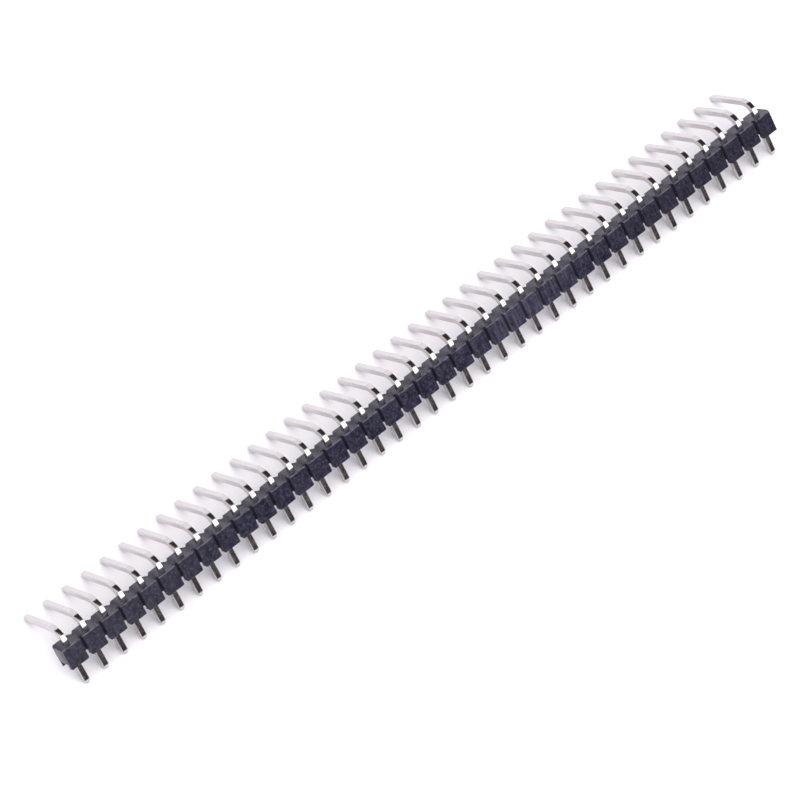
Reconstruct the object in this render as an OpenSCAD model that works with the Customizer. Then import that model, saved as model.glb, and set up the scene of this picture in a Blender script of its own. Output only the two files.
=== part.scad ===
// Single-row pin header, snapped from a breakaway strip, with pins whose long legs are bent at a right angle.
// It lies as it comes to rest on a table: on the tips of its short tails and of its long legs, with the moulding held up in the air between them.
// x runs along the row and z is up. The origin is at the middle of the box round the part, on the table.

/* [Row] */
// Number of pins in the row, at most 40
ways = 40; // [2:1:40]
// Distance between neighbouring pins
pitch = 2.54; // [2.40:0.01:2.70]

/* [Housing] */
// Depth of the moulding, from its front face to its back face
body_d = 2.66; // [2.50:0.02:2.80]
// Height of the moulding, along the pins
body_h = 2.40; // [2.00:0.05:2.80]
// Radius along the long edges of the moulding
edge_r = 0.10; // [0.05:0.01:0.14]
// Width of the channel along the tail side
channel_w = 1.66; // [1.50:0.02:1.70]
// Depth of the channel along the tail side
channel_d = 0.60; // [0.50:0.05:0.70]
// Radius at the ends of each rail beside the channel
rail_r = 0.24; // [0.16:0.02:0.36]

/* [Break-off notches] */
// Half the width of a front notch at its mouth
front_notch_w = 0.21; // [0.18:0.01:0.32]
// Depth of a front notch
front_notch_d = 0.64; // [0.56:0.02:0.70]
// Half the width of a back notch at its mouth
back_notch_w = 0.38; // [0.25:0.01:0.42]
// Depth of a back notch
back_notch_d = 0.56; // [0.54:0.02:0.70]
// Half the width at the bottom of a front notch
front_root = 0.14; // [0.06:0.01:0.16]
// Half the width at the bottom of a back notch
back_root = 0.04; // [0.03:0.01:0.10]
// Radius of the lips of a notch
lip_r = 0.08; // [0.04:0.01:0.12]
// How far each end of the moulding stops short of the middle of its last gap
end_cut = 0.08; // [0.04:0.01:0.10]
// Half the width of the front notch left on the first end
first_end_w = 0.14; // [0.12:0.01:0.32]
// Half the width of the front notch left on the last end
last_end_w = 0.32; // [0.12:0.01:0.36]
// First gap whose front notch came out of the mould too shallow to reach the channel
shallow_first = 24; // [1:1:39]
// Last gap whose front notch came out too shallow
shallow_last = 28; // [1:1:39]
// Depth of a shallow front notch
shallow_d = 0.44; // [0.36:0.02:0.46]

/* [Pins] */
// Side of the square pin
pin_w = 0.64; // [0.50:0.01:0.70]
// Length of the straight tail beyond the moulding
tail_l = 2.72; // [2.00:0.02:3.20]
// Height of the leg's centre line above the pin-exit face
leg_rise = 1.60; // [1.58:0.02:1.80]
// Length of the bent leg, from the pin's axis to its tip
leg_l = 7.25; // [6.00:0.05:9.00]
// Radius on the outside of the bend
bend_r = 1.80; // [1.10:0.05:1.80]
// Length of the tapered tip
tip_l = 0.42; // [0.30:0.02:0.50]
// Side of the small flat at the end of a tip
tip_w = 0.28; // [0.20:0.02:0.36]

/* [Hidden] */
$fn = 96;
row_l = ways * pitch;
half_d = body_d / 2;
half_pin = pin_w / 2;
bend_c = bend_r - half_pin;
stub = leg_rise - bend_c;
tail_end = body_h + tail_l;
// The part leans until both rows of tips are on the table.
lean = atan2(tail_end + leg_rise - tip_w / 2, leg_l - tip_w / 2);
back_reach = (leg_rise + tip_w / 2) * sin(lean) + leg_l * cos(lean);
front_reach = tail_end * sin(lean) + tip_w / 2 * cos(lean);
rise = tail_end * cos(lean) + tip_w / 2 * sin(lean);

function two_digits(i) = str(i < 10 ? "0" : "", i);

// From the part's own frame, with y along the tails and z along the legs, to the way it lies.
module lying() {
    translate([0, (front_reach - back_reach) / 2, rise])
        rotate([270 - lean, 0, 0])
            children();
}

// ---- outlines ----
function unit(v) = v / norm(v);
function turn(a, b) = a[0] * b[1] - a[1] * b[0];

// The arc of radius r that rounds corner b of the path a, b, c.
function rounded(a, b, c, r, steps) =
    let (u = unit(a - b), v = unit(c - b),
         half = acos(u * v) / 2,
         run = r / tan(half),
         mid = b + unit(u + v) * r / sin(half),
         from = b + u * run - mid, to = b + v * run - mid,
         sweep = (turn(from, to) < 0 ? -1 : 1) * acos(max(-1, min(1, from * to / (r * r)))))
    [for (k = [0:steps])
        let (t = sweep * k / steps)
        mid + [from[0] * cos(t) - from[1] * sin(t), from[0] * sin(t) + from[1] * cos(t)]];

function shallow(k) = k >= shallow_first && k <= shallow_last;
function front_depth(k) = shallow(k) ? shallow_d : front_notch_d;

// One side of a notch, from the face at y = 0 down to its root, with its mouth's lip rounded. side is -1 or 1.
function lip(x, w, root, d, side) =
    let (pts = rounded([x + side * (w + 1), 0], [x + side * w, 0], [x + side * root, -d], lip_r, 3))
    concat(pts, [[x + side * root, -d]]);
function backwards(list) = [for (i = [len(list) - 1:-1:0]) list[i]];

// What is left of a notch on an end of the moulding.
function end_lip(x, w, d, side) =
    let (root = [x + side * end_cut, -d])
    concat(rounded([x + side * (w + 1), 0], [x + side * w, 0], root, lip_r / 2, 3), [root]);
// A side of the moulding seen along the pins, from one end of the row to the other, with its mouths at y = 0.
function face_path(w, root, first_w, last_w, depths) = concat(
    backwards(end_lip(-row_l / 2, first_w, depths[0], 1)),
    [for (k = [1:ways - 1])
        let (x = k * pitch - row_l / 2)
        for (p = concat(lip(x, w, root, depths[k], -1), backwards(lip(x, w, root, depths[k], 1)))) p],
    end_lip(row_l / 2, last_w, depths[ways], -1));

front_path = face_path(front_notch_w, front_root, first_end_w, last_end_w, [for (k = [0:ways]) front_depth(k)]);
back_path = face_path(back_notch_w, back_root, back_notch_w, back_notch_w, [for (k = [0:ways]) back_notch_d]);

// ---- housing ----
module plan() {
    polygon(concat(
        [for (p = front_path) [p[0], half_d + p[1]]],
        [for (p = backwards(back_path)) [p[0], -half_d - p[1]]]));
}

// The moulding's long edges, seen along the row.
module long_section() {
    r = edge_r;
    corners = [[0, -half_d], [body_h, -half_d], [body_h, half_d], [0, half_d]];
    polygon([for (i = [0:3]) for (p = rounded(corners[(i + 3) % 4], corners[i], corners[(i + 1) % 4], r, 3)) p]);
}

// One end of a rail, at the gap at x = 0 with the rail running off towards -x, and the tail side at y = 0.
function rail_end(k) =
    let (foot = k == 0 || k == ways ? -end_cut : 0.02 - front_notch_w, far = -pitch / 2,
         r = k == 0 || k == ways ? rail_r / 3 : rail_r)
    shallow(k)
    ? concat([[0.01, -0.26]], rounded([0.01, -0.26], [foot, 0], [far, 0], rail_r / 2, 3))
    : concat([[0.01, -r]], rounded([foot, -1], [foot, 0], [far, 0], r, 4));

// What the rounded ends of the rails leave, seen from the front: a tab for each pin.
module rail_ends() {
    for (k = [1:ways]) {
        x = (k - (ways + 1) / 2) * pitch;
        polygon(concat(
            [[x - pitch / 2 - 0.01, -1], [x + pitch / 2 + 0.01, -1]],
            [for (p = rail_end(k)) [x + pitch / 2 + p[0], body_h + p[1]]],
            [for (p = backwards(rail_end(k - 1))) [x - pitch / 2 - p[0], body_h + p[1]]]));
    }
}

module housing() {
    color([0.10, 0.10, 0.12])
    lying()
    difference() {
        intersection() {
            rotate([-90, 0, 0]) linear_extrude(body_h) plan();
            rotate([90, 0, 90]) linear_extrude(row_l + 2, center = true) long_section();
            linear_extrude(body_d + 2, center = true) rail_ends();
        }
        // the channel along the tail side
        translate([-row_l / 2 - 1, body_h - channel_d, -channel_w / 2])
            cube([row_l + 2, channel_d + 1, channel_w]);
        // a square hole for each pin
        for (i = [1:ways])
            translate([(i - (ways + 1) / 2) * pitch, body_h / 2, 0])
                cube([pin_w, body_h + 2, pin_w], center = true);
    }
}

// ---- pins ----
// A square post standing on z = 0, tapered on all four sides at its tip.
function tip_profile(l) = [
    [-half_pin, 0], [half_pin, 0], [half_pin, l - tip_l],
    [tip_w / 2, l], [-tip_w / 2, l], [-half_pin, l - tip_l]];
module post(l) {
    intersection() {
        rotate([90, 0, 0]) linear_extrude(pin_w, center = true) polygon(tip_profile(l));
        rotate([90, 0, 90]) linear_extrude(pin_w, center = true) polygon(tip_profile(l));
    }
}

module bent_pin() {
    // the straight part, through the moulding and out as the tail
    translate([0, -stub, 0]) rotate([-90, 0, 0]) post(stub + tail_end);
    // the bend
    translate([0, -stub, bend_c]) rotate([0, 90, 180])
        rotate_extrude(angle = 90) translate([bend_c - half_pin, -half_pin]) square(pin_w);
    // the long leg
    translate([0, -leg_rise, bend_c]) post(leg_l - bend_c);
}

module pin(i) {
    if (i <= ways)
        color([0.80, 0.79, 0.77])
        lying()
        translate([(i - (ways + 1) / 2) * pitch, 0, 0])
            bent_pin();
}

module pin_01() { pin(1); }
module pin_02() { pin(2); }
module pin_03() { pin(3); }
module pin_04() { pin(4); }
module pin_05() { pin(5); }
module pin_06() { pin(6); }
module pin_07() { pin(7); }
module pin_08() { pin(8); }
module pin_09() { pin(9); }
module pin_10() { pin(10); }
module pin_11() { pin(11); }
module pin_12() { pin(12); }
module pin_13() { pin(13); }
module pin_14() { pin(14); }
module pin_15() { pin(15); }
module pin_16() { pin(16); }
module pin_17() { pin(17); }
module pin_18() { pin(18); }
module pin_19() { pin(19); }
module pin_20() { pin(20); }
module pin_21() { pin(21); }
module pin_22() { pin(22); }
module pin_23() { pin(23); }
module pin_24() { pin(24); }
module pin_25() { pin(25); }
module pin_26() { pin(26); }
module pin_27() { pin(27); }
module pin_28() { pin(28); }
module pin_29() { pin(29); }
module pin_30() { pin(30); }
module pin_31() { pin(31); }
module pin_32() { pin(32); }
module pin_33() { pin(33); }
module pin_34() { pin(34); }
module pin_35() { pin(35); }
module pin_36() { pin(36); }
module pin_37() { pin(37); }
module pin_38() { pin(38); }
module pin_39() { pin(39); }
module pin_40() { pin(40); }

housing();
pin_01();
pin_02();
pin_03();
pin_04();
pin_05();
pin_06();
pin_07();
pin_08();
pin_09();
pin_10();
pin_11();
pin_12();
pin_13();
pin_14();
pin_15();
pin_16();
pin_17();
pin_18();
pin_19();
pin_20();
pin_21();
pin_22();
pin_23();
pin_24();
pin_25();
pin_26();
pin_27();
pin_28();
pin_29();
pin_30();
pin_31();
pin_32();
pin_33();
pin_34();
pin_35();
pin_36();
pin_37();
pin_38();
pin_39();
pin_40();
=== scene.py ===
import math

import bmesh
import bpy
from mathutils import Matrix, Vector


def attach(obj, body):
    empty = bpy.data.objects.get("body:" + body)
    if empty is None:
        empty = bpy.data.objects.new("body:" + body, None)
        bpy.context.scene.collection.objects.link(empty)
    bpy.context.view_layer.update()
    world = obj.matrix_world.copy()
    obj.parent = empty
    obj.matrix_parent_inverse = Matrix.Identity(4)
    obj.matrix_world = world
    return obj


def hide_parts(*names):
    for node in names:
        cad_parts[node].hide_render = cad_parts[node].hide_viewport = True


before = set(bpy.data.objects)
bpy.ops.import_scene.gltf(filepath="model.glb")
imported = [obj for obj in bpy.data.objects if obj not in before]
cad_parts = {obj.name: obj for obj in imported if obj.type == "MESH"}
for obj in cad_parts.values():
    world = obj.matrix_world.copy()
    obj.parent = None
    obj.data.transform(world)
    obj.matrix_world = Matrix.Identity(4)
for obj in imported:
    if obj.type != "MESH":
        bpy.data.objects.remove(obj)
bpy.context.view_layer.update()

# ---------------------------------------------------------------- the part's own frame
# x runs along the row, p along the straight tails, q along the long legs. In millimetres, as part.scad has them.
WAYS, PITCH = 40, 2.54
BODY_H, HALF_D = 2.40, 1.33
PIN_W, TAIL_L, RISE, LEG_L = 0.64, 2.72, 1.60, 7.25
BEND_R, TIP_L, TIP_W = 1.80, 0.42, 0.28
TAIL_END = BODY_H + TAIL_L
LEAN = math.atan2(TAIL_END + RISE - TIP_W / 2, LEG_L - TIP_W / 2)
S, C = math.sin(LEAN), math.cos(LEAN)
BACK = (RISE + TIP_W / 2) * S + LEG_L * C
FRONT = TAIL_END * S + TIP_W / 2 * C
SHIFT_Y = (FRONT - BACK) / 2
LIFT = TAIL_END * C + TIP_W / 2 * S
ROW = Matrix(((1, 0, 0), (0, -S, C), (0, -C, -S)))   # (x, p, q) to the row frame
MM = 0.001


def row_point(x, p, q):
    v = ROW @ Vector((x, p, q))
    return Vector((v.x, v.y + SHIFT_Y, v.z + LIFT)) * MM


# ---------------------------------------------------------------- camera
def make_camera():
    eye = row_point(-166.4997, -170.7939, -356.3563)
    rv = Vector((0.301602, -0.511037, -0.547231))
    turn = Matrix.Rotation(rv.length, 3, rv.normalized())      # object axes to camera axes (right, down, forward)
    back = ROW @ turn.transposed()
    right, down, fwd = back.col[0], back.col[1], back.col[2]
    m = Matrix((right, -down, -fwd)).transposed().to_4x4()
    m.translation = eye
    cam = bpy.data.cameras.new("camera")
    cam.sensor_width = 36.0
    cam.lens = 4073.78 / 800 * 36.0
    cam.clip_start, cam.clip_end = 0.01, 20.0
    ob = bpy.data.objects.new("camera", cam)
    ob.matrix_world = m
    bpy.context.scene.collection.objects.link(ob)
    bpy.context.scene.camera = ob


# ---------------------------------------------------------------- node helpers
class Nodes:
    def __init__(self, tree):
        self.t = tree

    def add(self, kind, **props):
        n = self.t.nodes.new(kind)
        for k, v in props.items():
            setattr(n, k, v)
        return n

    def link(self, a, b):
        self.t.links.new(a, b)

    def put(self, socket, value):
        if hasattr(value, "is_output") or hasattr(value, "links"):
            self.link(value, socket)
        else:
            socket.default_value = value

    def math(self, op, a, b=0.0, c=None, clamp=False):
        n = self.add("ShaderNodeMath", operation=op, use_clamp=clamp)
        self.put(n.inputs[0], a)
        self.put(n.inputs[1], b)
        if c is not None:
            self.put(n.inputs[2], c)
        return n.outputs[0]

    def ramp(self, x, lo, hi, out_lo=0.0, out_hi=1.0, smooth=True):
        n = self.add("ShaderNodeMapRange", interpolation_type="SMOOTHSTEP" if smooth else "LINEAR")
        n.clamp = True
        self.put(n.inputs["Value"], x)
        n.inputs["From Min"].default_value = lo
        n.inputs["From Max"].default_value = hi
        n.inputs["To Min"].default_value = out_lo
        n.inputs["To Max"].default_value = out_hi
        return n.outputs["Result"]

    def dot(self, v, w, add=0.0):
        n = self.add("ShaderNodeVectorMath", operation="DOT_PRODUCT")
        self.link(v, n.inputs[0])
        n.inputs[1].default_value = w
        return self.math("ADD", n.outputs["Value"], add) if add else n.outputs["Value"]

    def vec(self, x, y, z):
        n = self.add("ShaderNodeCombineXYZ")
        for s, v in zip(n.inputs, (x, y, z)):
            self.put(s, v)
        return n.outputs[0]

    def noise(self, vector, scale, detail=2.0, rough=0.5, distortion=0.0):
        n = self.add("ShaderNodeTexNoise")
        n.inputs["Scale"].default_value = scale
        n.inputs["Detail"].default_value = detail
        n.inputs["Roughness"].default_value = rough
        n.inputs["Distortion"].default_value = distortion
        self.link(vector, n.inputs["Vector"])
        return n.outputs["Fac"]

    def mix(self, fac, a, b):
        n = self.add("ShaderNodeMix", data_type="RGBA")
        self.put(n.inputs[0], fac)
        for s, v in ((n.inputs[6], a), (n.inputs[7], b)):
            if isinstance(v, tuple):
                s.default_value = (*v, 1.0)
            else:
                self.link(v, s)
        return n.outputs[2]


def own_coords(n):
    """x, p, q in millimetres, from the row frame."""
    pos = n.add("ShaderNodeTexCoord").outputs["Object"]
    x = n.dot(pos, (1000.0, 0, 0))
    p = n.dot(pos, (0, -1000 * S, -1000 * C), S * SHIFT_Y + C * LIFT)
    q = n.dot(pos, (0, 1000 * C, -1000 * S), -C * SHIFT_Y + S * LIFT)
    return x, p, q


def new_material(name):
    m = bpy.data.materials.new(name)
    m.use_nodes = True
    t = m.node_tree
    t.nodes.clear()
    n = Nodes(t)
    out = n.add("ShaderNodeOutputMaterial")
    b = n.add("ShaderNodeBsdfPrincipled")
    n.link(b.outputs[0], out.inputs[0])
    return m, n, b


# ---------------------------------------------------------------- materials
def plastic():
    m, n, b = new_material("black_plastic")
    x, p, q = own_coords(n)
    own = n.vec(x, p, q)
    # where each cell's own middle and edges are
    cell = n.math("ADD", n.math("DIVIDE", x, PITCH), WAYS / 2)
    index = n.math("FLOOR", cell)
    u = n.math("MULTIPLY", n.math("SUBTRACT", n.math("FRACT", cell), 0.5), PITCH)   # -1.27 to 1.27
    # which face: front (-q)
    face = n.add("ShaderNodeNewGeometry").outputs["Normal"]
    front = n.ramp(n.dot(face, tuple(-(ROW @ Vector((0, 0, 1))))), 0.75, 0.95)
    # fine grain of the moulding and soft mottling
    grain = n.noise(own, 26.0, 3.0, 0.6)
    mottle = n.noise(own, 1.7, 4.0, 0.62)
    cloud = n.noise(own, 0.55, 3.0, 0.6)
    # rubbed marks that run down the front panels
    rub_v = n.vec(n.math("MULTIPLY", x, 2.2), n.math("MULTIPLY", p, 0.26), n.math("MULTIPLY", q, 1.0))
    rub = n.ramp(n.noise(rub_v, 1.0, 4.0, 0.66, 0.5), 0.40, 0.66)
    rubbed_cells = n.math("MULTIPLY", n.ramp(index, 21.2, 23.2), n.ramp(index, 28.2, 27.2))
    # fine scratches in both directions
    sc_v = n.vec(n.math("MULTIPLY", n.math("ADD", x, n.math("MULTIPLY", p, 0.5)), 30.0),
                 n.math("MULTIPLY", n.math("SUBTRACT", p, n.math("MULTIPLY", x, 0.45)), 2.0),
                 n.math("MULTIPLY", q, 6.0))
    scratch = n.ramp(n.noise(sc_v, 1.0, 2.0, 0.5, 0.2), 0.66, 0.74)
    specks = n.ramp(n.noise(own, 9.0, 1.0, 0.5), 0.72, 0.80)
    # thin curved scuffs, in patches
    swirl = n.ramp(n.math("ABSOLUTE", n.math("SUBTRACT", n.noise(own, 1.15, 1.0, 0.5, 0.6), 0.5)), 0.020, 0.004)
    swirl = n.math("MULTIPLY", swirl, n.ramp(n.noise(own, 0.8, 2.0, 0.5), 0.46, 0.60))
    # painted highlight: a paler line, in patches, where the front panels meet the top, standing in for the edge's
    # highlight and the pins' reflections in it
    edge_top = n.ramp(n.math("ABSOLUTE", p), 0.16, 0.0)
    edge_bot = n.ramp(n.math("SUBTRACT", BODY_H, p), 0.16, 0.0)
    edge_front = n.ramp(n.math("ADD", q, HALF_D), 0.20, 0.02)
    painted_edge_highlight = n.math("MULTIPLY", n.math("MULTIPLY", edge_top, edge_front), n.ramp(mottle, 0.25, 0.65))
    marks = n.math("ADD",
                   n.math("MULTIPLY", n.math("MULTIPLY", rub, front), n.math("ADD", n.math("MULTIPLY", rubbed_cells, 0.36), 0.12)),
                   n.math("ADD", n.math("MULTIPLY", scratch, 0.40), n.math("ADD", n.math("MULTIPLY", specks, 0.32), n.math("MULTIPLY", swirl, 0.13))), clamp=True)
    dark = n.mix(n.ramp(mottle, 0.38, 0.62), (0.0034, 0.0034, 0.0095), (0.0200, 0.0180, 0.0390))
    tone = n.mix(n.ramp(cloud, 0.35, 0.65), (0.0075, 0.0110, 0.0190), (0.0150, 0.0112, 0.0290))
    base = n.mix(0.35, dark, tone)
    base = n.mix(n.ramp(n.noise(own, 3.6, 2.0, 0.5, 0.3), 0.50, 0.66, 0.0, 0.42), base, (0.066, 0.063, 0.090))
    base = n.mix(n.math("MULTIPLY", n.math("MULTIPLY", rubbed_cells, front), 0.07), base, (0.105, 0.100, 0.150))
    # the first cells are a little greyer than the rest
    base = n.mix(n.math("MULTIPLY", front, n.ramp(x, -24.0, -40.0, 0.0, 0.10)), base, (0.115, 0.115, 0.105))
    # and the last ones a little less blue
    base = n.mix(n.math("MULTIPLY", front, n.ramp(x, 20.0, 34.0, 0.0, 0.35)), base, (0.0105, 0.0105, 0.0150))
    # painted light: the walls of the front slots are given a lighter colour, standing in for light reaching into
    # them
    painted_slot_light = n.ramp(n.math("ABSOLUTE", n.dot(face, (1, 0, 0))), 0.45, 0.80)
    painted_slot_light = n.math("MULTIPLY", painted_slot_light, n.math("MULTIPLY", n.ramp(q, -0.55, -0.68), n.ramp(n.math("ABSOLUTE", x), 50.5, 50.2)))
    base = n.mix(painted_slot_light, base, (0.034, 0.032, 0.050))
    base = n.mix(n.math("MULTIPLY", marks, 0.60), base, (0.105, 0.100, 0.150))
    # painted highlight: paler colour along the top front edge
    base = n.mix(n.math("MULTIPLY", painted_edge_highlight, 0.75), base, (0.150, 0.145, 0.185))
    n.link(base, b.inputs["Base Color"])
    rough = n.math("ADD", n.ramp(mottle, 0.2, 0.8, 0.16, 0.27), n.math("MULTIPLY", marks, 0.26))
    n.link(rough, b.inputs["Roughness"])
    b.inputs["IOR"].default_value = 1.5
    b.inputs["Specular IOR Level"].default_value = 0.23
    h = n.math("ADD", n.math("MULTIPLY", grain, 0.0016),
               n.math("ADD", n.math("MULTIPLY", mottle, 0.010),
                      n.math("MULTIPLY", n.math("ADD", n.math("MULTIPLY", n.math("MULTIPLY", rub, front), rubbed_cells), n.math("MULTIPLY", scratch, 0.4)), -0.005)))
    bump = n.add("ShaderNodeBump")
    bump.inputs["Strength"].default_value = 0.9
    bump.inputs["Distance"].default_value = 0.001
    n.link(h, bump.inputs["Height"])
    n.link(bump.outputs[0], b.inputs["Normal"])
    return m


def tin():
    m, n, b = new_material("tinned_pin")
    x, p, q = own_coords(n)
    leg = n.ramp(p, 0.0, -0.9)
    # the drawn wire's streaks run along the pin
    along_tail = n.vec(n.math("MULTIPLY", x, 14.0), n.math("MULTIPLY", p, 0.5), n.math("MULTIPLY", q, 14.0))
    along_leg = n.vec(n.math("MULTIPLY", x, 14.0), n.math("MULTIPLY", p, 14.0), n.math("MULTIPLY", q, 0.5))
    s1 = n.noise(along_tail, 1.0, 3.0, 0.6)
    s2 = n.noise(along_leg, 1.0, 3.0, 0.6)
    streak = n.math("ADD", n.math("MULTIPLY", s1, n.math("SUBTRACT", 1.0, leg)), n.math("MULTIPLY", s2, leg))
    own = n.vec(x, p, q)
    matte = n.noise(own, 2.2, 4.0, 0.6)
    fine = n.noise(own, 22.0, 3.0, 0.6)
    wn = n.add("ShaderNodeTexWhiteNoise", noise_dimensions="1D")
    n.link(n.math("FLOOR", n.math("ADD", n.math("DIVIDE", x, PITCH), WAYS / 2)), wn.inputs["W"])
    each = wn.outputs["Value"]
    base = n.mix(n.ramp(matte, 0.30, 0.72), (0.575, 0.560, 0.563), (0.520, 0.500, 0.505))
    base = n.mix(n.math("MULTIPLY", n.ramp(streak, 0.55, 0.78), 0.25), base, (0.43, 0.415, 0.42))
    base = n.mix(n.math("MULTIPLY", each, 0.12), base, (0.56, 0.53, 0.50))
    n.link(base, b.inputs["Base Color"])
    b.inputs["Metallic"].default_value = 1.0
    rough = n.math("ADD", n.ramp(matte, 0.25, 0.75, 0.09, 0.15), n.math("MULTIPLY", n.ramp(streak, 0.4, 0.8), 0.05))
    n.link(rough, b.inputs["Roughness"])
    h = n.math("ADD", n.math("MULTIPLY", streak, 0.0007), n.math("ADD", n.math("MULTIPLY", fine, 0.0002), n.math("MULTIPLY", matte, 0.0016)))
    bump = n.add("ShaderNodeBump")
    bump.inputs["Strength"].default_value = 0.8
    bump.inputs["Distance"].default_value = 0.001
    n.link(h, bump.inputs["Height"])
    n.link(bump.outputs[0], b.inputs["Normal"])
    return m


# ---------------------------------------------------------------- pins
def square_ring(half, r, steps=3):
    """A square with rounded corners, as points (a, b)."""
    pts = []
    flat = 0.86 * (half - r)                   # more points on each side keep its middle flat
    for k, (sx, sy) in enumerate(((1, 1), (-1, 1), (-1, -1), (1, -1))):
        for g in (0.0, 0.5, 1.0):
            pts.append((sx * half, sy * flat * g) if k % 2 == 0 else (sx * flat * g, sy * half))
        for j in range(steps + 1):
            t = math.radians(90 * k + 90 * j / steps)
            pts.append((sx * (half - r) + r * math.cos(t), sy * (half - r) + r * math.sin(t)))
        for g in (1.0, 0.5):
            pts.append((sx * flat * g, sy * half) if k % 2 == 0 else (sx * half, sy * flat * g))
    return pts


def pin_mesh(i):
    """One pin, with its edges and the shoulders of its tips softly rounded, inside the CAD pin's faces."""
    x0 = (i - (WAYS + 1) / 2) * PITCH
    half = PIN_W / 2
    bend_c = BEND_R - half
    stub = RISE - bend_c
    edge = 0.065
    # stations along the centre line: point (p, q), direction (p, q), half width, corner radius
    st = []
    tip = TIP_W / 2

    def taper(base, sign, axis):
        out = []
        for d, h, r in ((0.0, tip - 0.035, 0.03), (0.012, tip - 0.008, 0.04), (0.04, tip + 0.012, 0.045),
                        (TIP_L - 0.09, half - 0.040, 0.06), (TIP_L - 0.035, half - 0.018, 0.065),
                        (TIP_L + 0.03, half - 0.004, edge), (TIP_L + 0.10, half, edge)):
            out.append((d, h, r))
        return out

    for d, h, r in taper(0, 1, 0):
        st.append(((TAIL_END - d, 0.0), (-1.0, 0.0), h, r))
    for k in range(1, 9):
        st.append(((TAIL_END - TIP_L - 0.1 - (TAIL_END - TIP_L - 0.1 + stub) * k / 9, 0.0), (-1.0, 0.0), half, edge))
    steps = 32
    for k in range(steps + 1):
        t = math.radians(90) * k / steps
        st.append(((-stub - bend_c * math.sin(t), bend_c - bend_c * math.cos(t)), (-math.cos(t), math.sin(t)), half, edge))
    end = LEG_L - TIP_L - 0.1
    for k in range(1, 9):
        st.append(((-RISE, bend_c + (end - bend_c) * k / 9), (0.0, 1.0), half, edge))
    for d, h, r in reversed(taper(0, 1, 0)):
        st.append(((-RISE, LEG_L - d), (0.0, 1.0), h, r))
    bm = bmesh.new()
    rings = []
    for (p, q), (dp, dq), h, r in st:
        side = (dq, -dp)                       # in the p-q plane, square to the direction
        crown = 0.009 * 4 * dq * -dp           # the bend leaves the outer face slightly crowned
        ring = []
        for a, b in square_ring(h, r):
            if b < 0:
                b += crown * (a / h) ** 2
            ring.append(bm.verts.new(row_point(x0 + a, p + b * side[0], q + b * side[1])))
        rings.append(ring)
    nn = len(rings[0])
    for r0, r1 in zip(rings, rings[1:]):
        for k in range(nn):
            bm.faces.new((r0[k], r0[(k + 1) % nn], r1[(k + 1) % nn], r1[k]))
    bm.faces.new(rings[0][::-1])
    bm.faces.new(rings[-1])
    bmesh.ops.recalc_face_normals(bm, faces=bm.faces)
    me = bpy.data.meshes.new(f"pin_{i:02d}_post")
    bm.to_mesh(me)
    bm.free()
    for f in me.polygons:
        f.use_smooth = True
    return me


def shade_by_angle(ob, deg):
    me = ob.data
    for f in me.polygons:
        f.use_smooth = True
    bm = bmesh.new()
    bm.from_mesh(me)
    lim = math.radians(deg)
    for e in bm.edges:
        e.smooth = len(e.link_faces) == 2 and e.calc_face_angle(0.0) < lim
    bm.to_mesh(me)
    bm.free()


# ---------------------------------------------------------------- housing
def housing_piece(mat):
    """The CAD housing with its moulded edges softly rounded."""
    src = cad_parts["housing"]
    me = src.data.copy()
    me.name = "moulding"
    ob = bpy.data.objects.new("moulding", me)
    bpy.context.scene.collection.objects.link(ob)
    bm = bmesh.new()
    bm.from_mesh(me)
    bmesh.ops.remove_doubles(bm, verts=bm.verts, dist=2e-6)
    bmesh.ops.dissolve_limit(bm, angle_limit=math.radians(0.5), verts=bm.verts, edges=bm.edges)
    bm.to_mesh(me)
    bm.free()
    mod = ob.modifiers.new("edges", "BEVEL")
    mod.width = 0.035 * MM
    mod.segments = 2
    mod.limit_method = "ANGLE"
    mod.angle_limit = math.radians(40)
    mod.use_clamp_overlap = False
    mod.harden_normals = False
    mod.miter_outer = "MITER_SHARP"
    dg = bpy.context.evaluated_depsgraph_get()
    new = bpy.data.meshes.new_from_object(ob.evaluated_get(dg))
    ob.modifiers.clear()
    ob.data = new
    new.name = "moulding"
    new.materials.clear()
    new.materials.append(mat)
    shade_by_angle(ob, 38)
    mod = ob.modifiers.new("normals", "WEIGHTED_NORMAL")
    mod.mode = "FACE_AREA"
    mod.weight = 100
    mod.keep_sharp = True
    dg = bpy.context.evaluated_depsgraph_get()
    dg.update()
    new = bpy.data.meshes.new_from_object(ob.evaluated_get(dg))
    ob.modifiers.clear()
    ob.data = new
    new.name = "moulding"
    return ob


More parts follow.
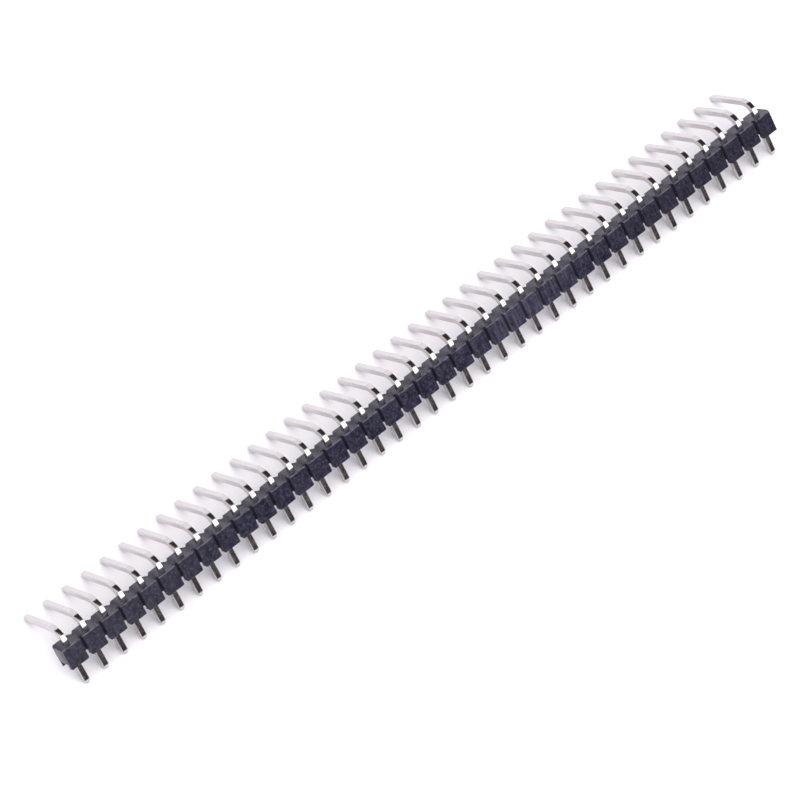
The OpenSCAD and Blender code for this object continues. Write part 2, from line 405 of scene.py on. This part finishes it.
# ---------------------------------------------------------------- stage
def stage():
    bpy.ops.mesh.primitive_plane_add(size=6.0, location=(0, 0, 0))
    floor = bpy.context.object
    floor.name = "floor"
    m, n, b = new_material("floor")
    pos = n.add("ShaderNodeTexCoord").outputs["Object"]
    soft = n.noise(pos, 40.0, 3.0, 0.5)
    n.link(n.mix(soft, (0.90, 0.895, 0.91), (0.93, 0.925, 0.935)), b.inputs["Base Color"])
    b.inputs["Roughness"].default_value = 0.75
    floor.data.materials.append(m)

    def light(name, radiance, size, size_y, angle, x0, far, color, glossy):
        """A rectangle parallel to the row, at an angle up from the front, facing the middle of the row."""
        d = bpy.data.lights.new(name, "AREA")
        d.shape = "RECTANGLE"
        d.size, d.size_y, d.color = size, size_y, color
        d.energy = radiance * math.pi * size * size_y
        o = bpy.data.objects.new(name, d)
        a = math.radians(angle)
        z = Vector((0, -math.cos(a), math.sin(a)))
        x = Vector((1, 0, 0))
        o.matrix_world = Matrix((x, z.cross(x), z)).transposed().to_4x4()
        o.location = z * far + Vector((x0, 0, 0))
        o.visible_glossy = glossy
        o.visible_diffuse = not glossy
        o.visible_camera = False
        bpy.context.scene.collection.objects.link(o)

    light("overhead", 1.30, 1.5, 1.5, 106.0, 0.0, 1.0, (1.0, 0.99, 0.985), False)
    light("front_fill", 1.60, 1.00, 0.80, 48.0, 0.04, 0.95, (1.0, 0.99, 0.985), False)
    # a tall bright box in front, seen in the bends of the pins and along the moulding's top edge
    light("softbox", 2.7, 0.70, 0.630, 45.5, 0.32, 0.75, (1.0, 0.995, 0.965), True)

    w = bpy.data.worlds.new("world")
    bpy.context.scene.world = w
    w.use_nodes = True
    t = w.node_tree
    t.nodes.clear()
    n = Nodes(t)
    out = n.add("ShaderNodeOutputWorld")
    way = n.add("ShaderNodeTexCoord").outputs["Generated"]
    up = n.dot(way, (0, 0, 1))
    back = n.dot(way, (0, 1, 0))
    side = n.dot(way, (1, 0, 0))
    # a pale sweep behind, and dark flags over the top and low down in front
    # (each edge is a plane through the row, so it crosses the bends squarely)
    sweep = n.ramp(n.math("SUBTRACT", back, n.math("MULTIPLY", up, 0.685)), -0.03, 0.02)
    flag = n.ramp(n.math("ABSOLUTE", n.math("SUBTRACT", side, 0.42)), 0.60, 0.30)
    room = n.mix(flag, (0.50, 0.49, 0.51), (0.046, 0.032, 0.038))
    # the left wing of the box, higher than the rest
    wing = n.ramp(n.math("ADD", side, n.math("MULTIPLY", back, 0.20)), 0.232, 0.172)
    wing = n.math("MULTIPLY", wing, n.ramp(n.math("ADD", back, n.math("MULTIPLY", up, 0.404)), -0.02, 0.02))
    wing = n.math("MULTIPLY", wing, n.ramp(n.math("SUBTRACT", back, n.math("MULTIPLY", up, 0.46)), 0.05, -0.03))
    room = n.mix(wing, room, (1.25, 1.12, 1.12))
    room = n.mix(sweep, room, (1.33, 1.29, 1.33))
    amb = n.add("ShaderNodeBackground")
    amb.inputs["Strength"].default_value = 0.84
    amb.inputs["Color"].default_value = (0.96, 0.91, 1.0, 1.0)
    gl = n.add("ShaderNodeBackground")
    n.link(room, gl.inputs["Color"])
    seen = n.add("ShaderNodeBackground")
    seen.inputs["Color"].default_value = (0.95, 0.95, 0.96, 1.0)
    path = n.add("ShaderNodeLightPath")
    m1 = n.add("ShaderNodeMixShader")
    n.link(path.outputs["Is Glossy Ray"], m1.inputs[0])
    n.link(amb.outputs[0], m1.inputs[1])
    n.link(gl.outputs[0], m1.inputs[2])
    m2 = n.add("ShaderNodeMixShader")
    n.link(path.outputs["Is Camera Ray"], m2.inputs[0])
    n.link(m1.outputs[0], m2.inputs[1])
    n.link(seen.outputs[0], m2.inputs[2])
    n.link(m2.outputs[0], out.inputs[0])


# ---------------------------------------------------------------- build
make_camera()
black = plastic()
metal = tin()

moulding = housing_piece(black)
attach(moulding, "root")
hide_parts("housing")

for i in range(1, WAYS + 1):
    me = pin_mesh(i)
    me.materials.append(metal)
    ob = bpy.data.objects.new(f"post_{i:02d}", me)
    bpy.context.scene.collection.objects.link(ob)
    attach(ob, "root")
    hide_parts(f"pin_{i:02d}")

stage()
view = bpy.context.scene.view_settings
view.view_transform = "Standard"
view.look = "None"
view.exposure = 0.0
